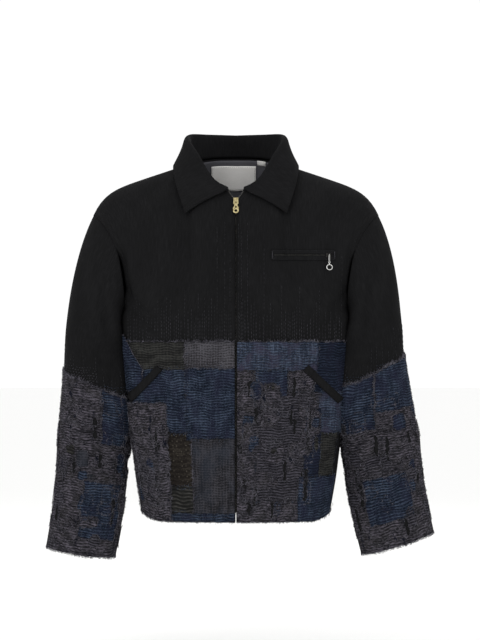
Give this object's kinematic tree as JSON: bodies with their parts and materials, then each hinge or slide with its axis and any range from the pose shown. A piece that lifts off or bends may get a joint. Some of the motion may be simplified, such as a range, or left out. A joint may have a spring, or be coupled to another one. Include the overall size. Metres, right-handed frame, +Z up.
{
  "type": "patchwork zip jacket",
  "caption": "Boxy collared zip-front jacket with a hand-stitched patchwork lower half, slanted hand pockets and a zipped chest pocket, in its hollow worn form.",
  "frame": {"origin": "middle of the neck, level with the top of the shoulder seams, where the wearer's neck and shoulders carry the jacket", "axes": "+Z up, the front faces -Y, +X towards the wearer's left"},
  "size_m": [0.6725, 0.2757, 0.737],
  "materials": {
    "black_denim": "matt black cotton twill, softly slubbed",
    "navy_cloth": "worn navy cotton with wavy running stitches",
    "grey_cloth": "faded charcoal cotton with frayed, distressed weave",
    "olive_cloth": "dark olive cotton with fine ribs and dots",
    "charcoal_lining": "plain charcoal cotton lining",
    "white_tape": "plain off-white woven tape",
    "brass": "bright brass",
    "white_metal": "bright nickel"
  },
  "bodies": {
    "jacket": {"front_right": "black_denim", "front_left": "black_denim", "back": "black_denim", "sleeve_right": "black_denim", "sleeve_left": "black_denim", "patch_right_side_navy": "navy_cloth", "patch_right_striped": "olive_cloth", "patch_right_grey": "grey_cloth", "patch_right_navy": "navy_cloth", "patch_right_quilted_navy": "navy_cloth", "patch_right_frayed": "grey_cloth", "patch_right_dotted": "olive_cloth", "patch_right_ribbed": "olive_cloth", "patch_right_check": "grey_cloth", "patch_right_hem_navy": "navy_cloth", "patch_left_navy": "navy_cloth", "patch_left_column": "grey_cloth", "patch_left_small_navy": "navy_cloth", "patch_left_frayed": "grey_cloth", "patch_left_quilted": "grey_cloth", "patch_left_side_navy": "navy_cloth", "patch_left_dark_column": "navy_cloth", "patch_left_speckled": "navy_cloth", "patch_left_olive": "olive_cloth", "patch_left_hem_navy": "navy_cloth", "patch_left_hem_grey": "grey_cloth", "patch_back_upper_left": "navy_cloth", "patch_back_upper_middle": "grey_cloth", "patch_back_upper_right": "olive_cloth", "patch_back_lower_left": "grey_cloth", "patch_back_lower_middle": "navy_cloth", "patch_back_lower_right": "grey_cloth", "patch_sleeve_right_upper": "grey_cloth", "patch_sleeve_right_inner": "navy_cloth", "patch_sleeve_right_lower": "navy_cloth", "patch_sleeve_left_outer": "navy_cloth", "patch_sleeve_left_inner": "navy_cloth", "patch_sleeve_left_lower": "navy_cloth", "collar": "black_denim", "back_neck_facing": "charcoal_lining", "neck_label": "white_tape", "size_tab": "white_tape", "zip_tape_right": "black_denim", "zip_teeth_right": "brass", "zip_tape_left": "black_denim", "zip_teeth_left": "brass", "main_slider": "brass", "chest_pocket_welt": "black_denim", "chest_zip_tape": "brass", "chest_slider": "white_metal", "hand_pocket_welt_right": "black_denim", "hand_pocket_welt_left": "black_denim"},
    "zip_pull": {"main_pull": "brass"},
    "chest_link": {"chest_link": "white_metal"},
    "chest_ring": {"chest_ring": "white_metal"}
  },
  "joints": [
    {"name": "front_zip_pull_swing", "type": "hinge", "parent": "jacket", "child": "zip_pull", "pos_m": [0, -0.0985, -0.0608], "axis": [-1, 0, 0], "range_deg": [0, 160]},
    {"name": "chest_link_swing", "type": "hinge", "parent": "jacket", "child": "chest_link", "pos_m": [0.15965, -0.10907, -0.15491], "axis": [-0.91, -0.4145, 0], "range_deg": [0, 90]},
    {"name": "chest_ring_sway", "type": "hinge", "parent": "chest_link", "child": "chest_ring", "pos_m": [0.15988, -0.10957, -0.16694], "axis": [0.4141, -0.9091, 0.0459], "range_deg": [-35, 35]}
  ]
}
